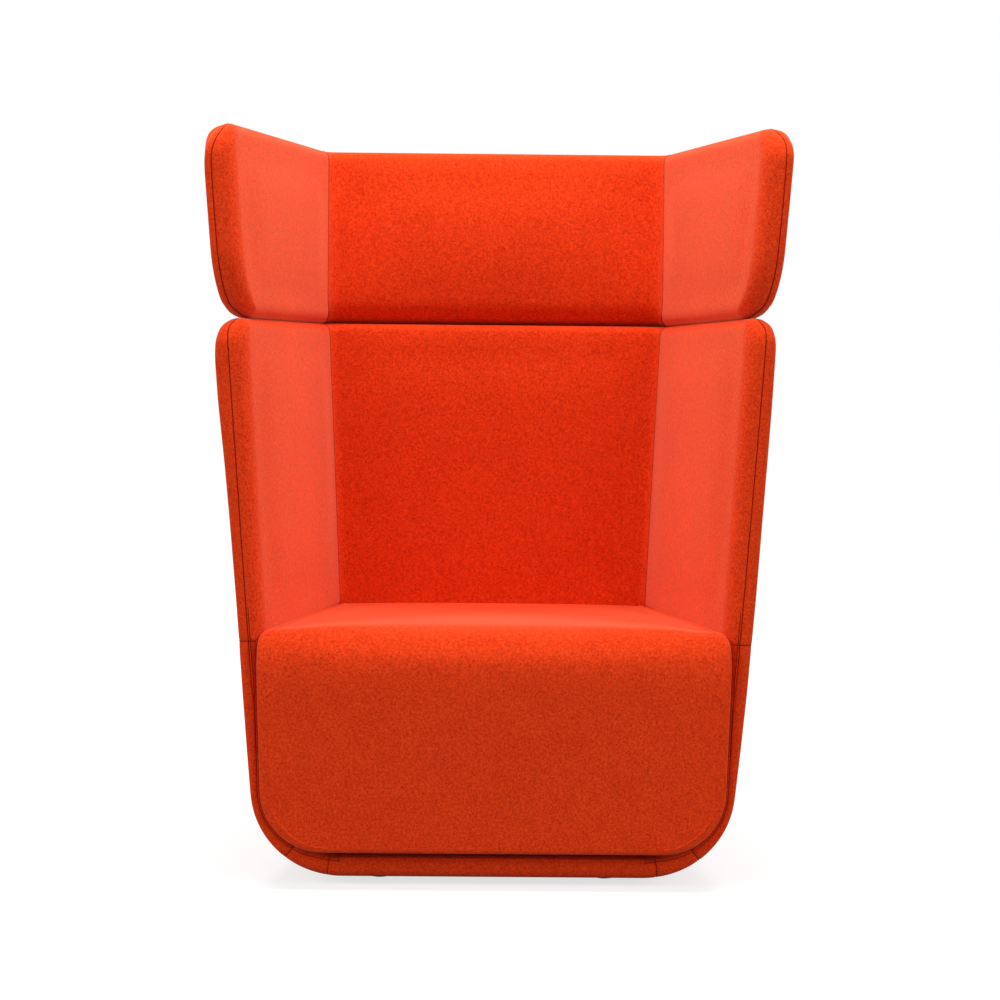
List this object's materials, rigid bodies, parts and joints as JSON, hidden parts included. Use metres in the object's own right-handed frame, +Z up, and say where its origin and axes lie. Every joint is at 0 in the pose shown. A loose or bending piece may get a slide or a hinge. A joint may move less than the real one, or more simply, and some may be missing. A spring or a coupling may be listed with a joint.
{
  "type": "acoustic high back lounge chair",
  "caption": "Acoustic high back lounge chair: a box seat inside an upholstered shell with side walls and a winged head tier, in red-orange felted wool, on hidden levelling feet.",
  "frame": {"origin": "on the floor, below the middle of the chair's width and depth", "axes": "+Z up, -Y toward the front of the seat, +X to the right seen from the front"},
  "size_m": [0.96, 0.74, 1.255],
  "materials": {
    "wool": "felted wool, matt",
    "foam": "cut foam, matt",
    "felt": "pressed felt, matt",
    "plywood": "raw birch plywood",
    "steel": "zinc plated",
    "black_steel": "black powder coat",
    "black_plastic": "moulded nylon",
    "lining": "spunbond lining",
    "brass": "plain"
  },
  "bodies": {
    "chair": {"head_left_cover": "wool", "head_right_cover": "wool", "head_back_cover": "wool", "wall_left_cover": "wool", "wall_right_cover": "wool", "back_cover": "wool", "seat_cover": "wool", "rim_cover": "wool", "rear_rim_cover": "wool", "head_left_foam": "foam", "head_right_foam": "foam", "head_back_foam": "foam", "wall_left_foam": "foam", "wall_right_foam": "foam", "back_foam": "foam", "seat_foam": "foam", "rim_foam": "foam", "rear_rim_foam": "foam", "head_left_felt": "felt", "head_right_felt": "felt", "head_left_board": "plywood", "head_right_board": "plywood", "head_back_board": "plywood", "wall_left_shell": "plywood", "wall_right_shell": "plywood", "back_board": "plywood", "seat_front_board": "plywood", "seat_rear_board": "plywood", "seat_rail_left": "plywood", "seat_rail_right": "plywood", "base_board": "plywood", "base_rail_front": "plywood", "base_rail_rear": "plywood", "head_post_left": "black_steel", "head_post_right": "black_steel", "post_bolts": "steel", "seat_springs": "steel", "seat_brackets": "steel", "spring_clips": "black_plastic", "dust_cover": "lining", "foot_inserts": "brass"},
    "pad_front_left": {"foot_pad_front_left": "black_plastic"},
    "stem_front_left": {"foot_stem_front_left": "steel"},
    "pad_front_right": {"foot_pad_front_right": "black_plastic"},
    "stem_front_right": {"foot_stem_front_right": "steel"},
    "pad_rear_left": {"foot_pad_rear_left": "black_plastic"},
    "stem_rear_left": {"foot_stem_rear_left": "steel"},
    "pad_rear_right": {"foot_pad_rear_right": "black_plastic"},
    "stem_rear_right": {"foot_stem_rear_right": "steel"}
  },
  "joints": [
    {"name": "level_front_left", "type": "slide", "parent": "chair", "child": "pad_front_left", "axis": [0, 0, -1], "range_m": [0, 0.012]},
    {"name": "screw_front_left", "type": "hinge", "parent": "pad_front_left", "child": "stem_front_left", "pos_m": [-0.18999, -0.25, 0.0045], "axis": [0, 0, 1], "range_deg": [0, 2880]},
    {"name": "level_front_right", "type": "slide", "parent": "chair", "child": "pad_front_right", "axis": [0, 0, -1], "range_m": [0, 0.012]},
    {"name": "screw_front_right", "type": "hinge", "parent": "pad_front_right", "child": "stem_front_right", "pos_m": [0.18999, -0.25, 0.0045], "axis": [0, 0, 1], "range_deg": [0, 2880]},
    {"name": "level_rear_left", "type": "slide", "parent": "chair", "child": "pad_rear_left", "axis": [0, 0, -1], "range_m": [0, 0.012]},
    {"name": "screw_rear_left", "type": "hinge", "parent": "pad_rear_left", "child": "stem_rear_left", "pos_m": [-0.11263, 0.19329, 0.0045], "axis": [0, 0, 1], "range_deg": [0, 2880]},
    {"name": "level_rear_right", "type": "slide", "parent": "chair", "child": "pad_rear_right", "axis": [0, 0, -1], "range_m": [0, 0.012]},
    {"name": "screw_rear_right", "type": "hinge", "parent": "pad_rear_right", "child": "stem_rear_right", "pos_m": [0.11263, 0.19329, 0.0045], "axis": [0, 0, 1], "range_deg": [0, 2880]}
  ],
  "couplings": [
    {"joint": "screw_front_left", "follows": "level_front_left", "rad_per_m": 4188.8},
    {"joint": "screw_front_right", "follows": "level_front_right", "rad_per_m": 4188.8},
    {"joint": "screw_rear_left", "follows": "level_rear_left", "rad_per_m": 4188.8},
    {"joint": "screw_rear_right", "follows": "level_rear_right", "rad_per_m": 4188.8}
  ]
}
